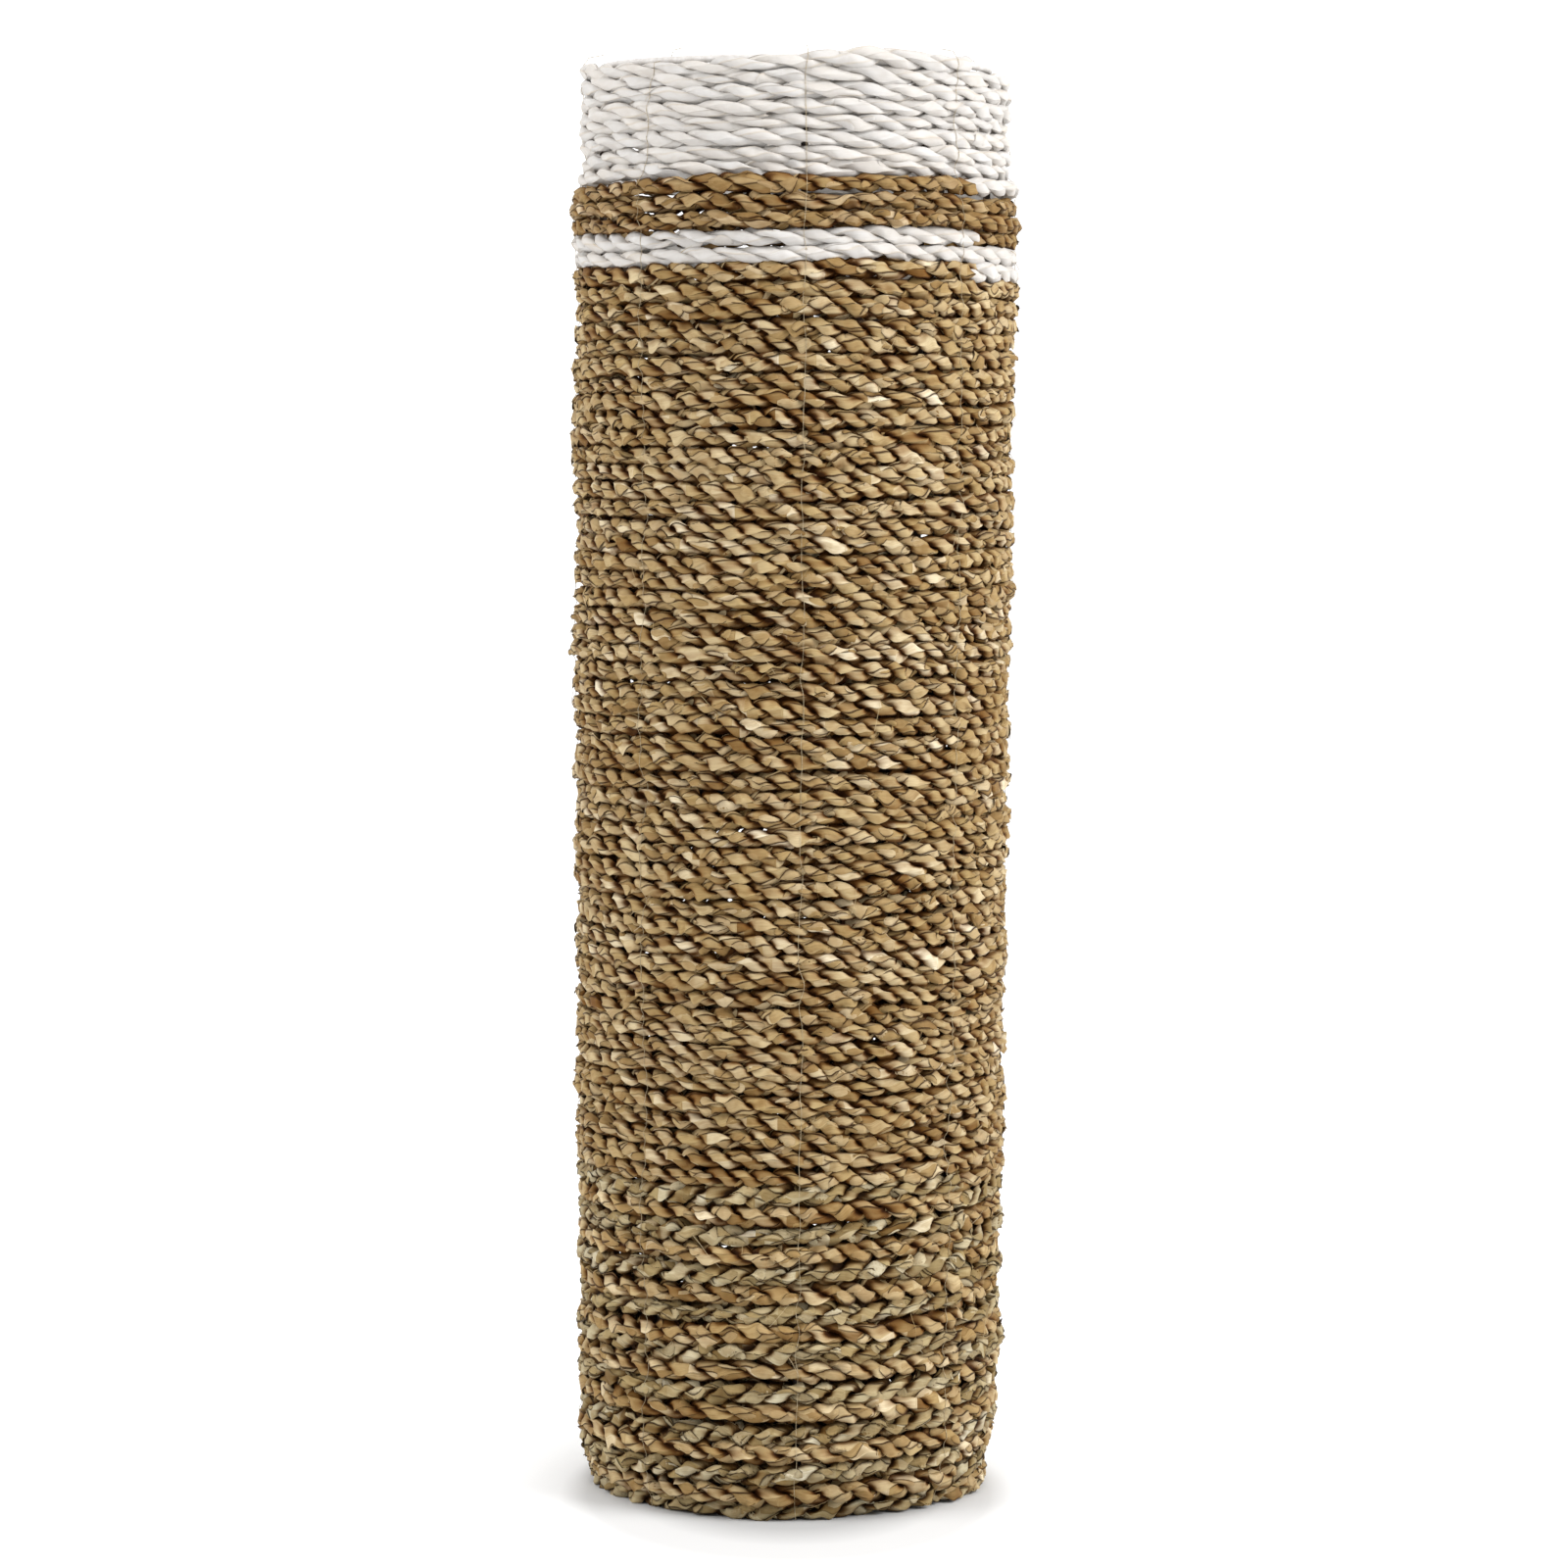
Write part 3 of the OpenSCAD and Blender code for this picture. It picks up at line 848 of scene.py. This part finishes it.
def seams():
    """Thread seams: each wanders a little as it follows the rows' outside, and has two knots."""
    rng = np.random.default_rng(17)
    for number in range(SEAMS):
        angle = FIRST_SEAM + number * SEAM_STEP
        z, skin = outer_skin(angle)
        r = taut(skin, 0.004) + 0.00012
        r = eased(r, 2)
        drift = smooth_noise(rng, z, 0.012, 0.0007) + smooth_noise(rng, z, 0.06, 0.0006)
        shape = Shape()
        path = to_wall(angle + drift / WALL_R, r, z + 0.0006)
        top = path[-1] * (0.93, 0.93, 1) + (0, 0, 0.0004)
        path = np.concatenate([path[:-3:2], [top]])
        thin_tube(shape, path, THREAD_R)
        for z_knot in rng.uniform(0.06, 0.74, 2):
            j = int(z_knot / SKIN_STEP)
            thin_tube(shape, knot(rng, to_wall(angle + drift[j] / WALL_R, r[j] + 0.0005, z[j])), KNOT_R)
        shape.make(f"thread_seam_{number + 1}", MATERIALS["thread"], [f"seam_thread_{number + 1}"])


def fibres():
    """Stray straw fibres that lie across the rows or stand off them."""
    rng = np.random.default_rng(23)
    shape = Shape()
    near_r = WALL_R + 0.002
    # the ones in plain sight on the front: angle in degrees, height, slant, length
    placed = [(-22, 0.150, -0.75, 0.024), (35, 0.105, -1.35, 0.018), (-10, 0.012, -0.3, 0.012),
              (9, 0.010, 0.4, 0.012), (72, 0.452, 0.3, 0.012)]
    spread = [(rng.uniform(-180, 180), rng.uniform(0.01, 0.70), rng.uniform(-1.5, 1.5),
               rng.uniform(0.006, 0.018)) for _ in range(90)]
    for degrees, height, slant, length in placed + spread:
        angle = math.radians(degrees)
        z_grid, skin = outer_skin(angle, 0.002)
        t = np.linspace(0, 1, 12)
        z = np.clip(height + math.sin(slant) * length * (t - 0.5), 0.001, 0.79)
        r = np.interp(z, z_grid, taut(skin, 0.02))
        bow = rng.uniform(0.0002, 0.0014)
        r = r + 0.0001 + bow * np.sin(math.pi * t) + rng.choice((0, 0, 0.002)) * t ** 2
        a = angle + math.cos(slant) * length * (t - 0.5) / near_r + smooth_noise(rng, t, 0.4, 0.003)
        thin_tube(shape, to_wall(a, r, z), FIBRE_R * (1 - 0.6 * t), 5, rng.random())
    shape.make("stray_fibres", MATERIALS["natural_rope"], ["body_rope"])


def paint_wires():
    """The wire frame keeps its CAD meshes. The rim's hoop is painted pale, to match the rim's rope."""
    for name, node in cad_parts.items():
        if name.startswith("upright") or "hoop" in name or "base_bar" in name:
            for slot in node.material_slots:
                slot.material = MATERIALS["pale_wire" if name == "rim_hoop" else "frame_wire"]


base_mat()
seams()
fibres()
paint_wires()


# ---------------------------------------------------------------- floor, light, camera
def backdrop_mesh():
    """A line swept across the floor, and one along each side. Each runs level and then bends up."""
    bend_r, wide, back_y, side_x = 1.5, 14.0, 2.5, 3.5
    bend = [(bend_r * math.sin(a), bend_r - bend_r * math.cos(a)) for a in np.linspace(0.1, math.pi / 2, 16)]
    wall_y = back_y + bend_r
    floor_line = [(-wide, 0.0), (back_y, 0.0)] + [(back_y + y, z) for y, z in bend] + [(wall_y, 6.0)]
    side_line = [(side_x, 0.0)] + [(side_x + x, z) for x, z in bend] + [(side_x + bend_r, 2.6)]
    strips = [[(x, y, z) for y, z in floor_line for x in (-wide, wide)]]
    strips += [[(side * x, y, z) for x, z in side_line for y in (-wide, wall_y)] for side in (-1, 1)]
    verts, faces = [], []
    for strip in strips:
        first = len(verts)
        verts += strip
        faces += [(i, i + 1, i + 3, i + 2) for i in range(first, first + len(strip) - 2, 2)]
    mesh = bpy.data.meshes.new("backdrop")
    mesh.from_pydata(verts, [], faces)
    mesh.polygons.foreach_set("use_smooth", [True] * len(faces))
    return mesh


def backdrop_painted_shadow_and_glow():
    """White backdrop, with a painted shadow under the basket and a painted glow away from it, which leaves
    only a close shadow.
    """
    def grey(level):
        return level, level, level, 1

    m = Nodes("backdrop_painted_shadow_and_glow")
    m.shader.inputs["Roughness"].default_value = 0.9
    m.shader.inputs["Emission Color"].default_value = (1, 1, 1, 1)
    place = m.add("ShaderNodeNewGeometry")
    oval = m.add("ShaderNodeMapping")
    oval.inputs["Scale"].default_value = (1, 0.7, 1)
    oval.inputs["Location"].default_value = (0, 0.028, 0)
    m.link(place, "Position", oval, "Vector")
    far = m.add("ShaderNodeVectorMath", operation="LENGTH")
    m.link(oval, "Vector", far, 0)
    # Painted shadow: the floor's colour darkens towards the basket's foot
    painted_shadow_tone = m.ramp(far, "Value", [(0.062, grey(0.42)), (0.09, grey(0.62))])
    m.link(painted_shadow_tone, "Color", m.shader, "Base Color")
    # Painted light: the floor glows more the farther it lies from the basket
    glow = m.ramp(far, "Value", [(0.112, grey(0)), (0.128, grey(0.28)),
                                 (0.170, grey(0.44)), (1.0, grey(0.58))])
    m.link(glow, "Color", m.shader, "Emission Strength")
    return m.material


def backdrop():
    """Pale floor that curves up behind and at both sides."""
    mesh = backdrop_mesh()
    mesh.materials.append(backdrop_painted_shadow_and_glow())
    floor = bpy.data.objects.new("backdrop", mesh)
    bpy.context.scene.collection.objects.link(floor)


def area_light(name, place, aim, size, power):
    """A soft box at a place, turned towards aim. Its size is in metres and its power in watts."""
    light = bpy.data.lights.new(name, "AREA")
    light.shape = "RECTANGLE"
    light.size, light.size_y = size
    light.energy = power
    lamp = bpy.data.objects.new(name, light)
    lamp.location = place
    lamp.rotation_mode = "QUATERNION"
    lamp.rotation_quaternion = (Vector(aim) - Vector(place)).to_track_quat("-Z", "Y")
    bpy.context.scene.collection.objects.link(lamp)


backdrop()
area_light("front", (-0.4, -2.2, 2.9), (0, 0, 0.45), (1.0, 0.7), 6)
area_light("right", (2.2, -1.05, 1.9), (0, 0, 0.4), (1.5, 1.8), 92)
area_light("left", (-2.3, -1.0, 1.9), (0, 0, 0.4), (1.5, 1.8), 54)
area_light("top", (0.0, -0.6, 2.9), (0, 0, 0.2), (1.5, 1.1), 21)
world = bpy.data.worlds.new("studio")
world.use_nodes = True
world.node_tree.nodes["Background"].inputs["Color"].default_value = (1, 1, 1, 1)
world.node_tree.nodes["Background"].inputs["Strength"].default_value = 0.36
bpy.context.scene.world = world
bpy.context.scene.view_settings.view_transform = "Standard"

# A long lens at the front, looking a little down
camera = bpy.data.cameras.new("camera")
camera.sensor_width = 36
camera.lens = 113.085
view = bpy.data.objects.new("camera", camera)
view.location = (-0.0044, -2.78, 0.6246)
view.rotation_mode = "ZYX"
view.rotation_euler = (math.radians(90 - 4.66), 0, math.radians(0.33))
bpy.context.scene.collection.objects.link(view)
bpy.context.scene.camera = view
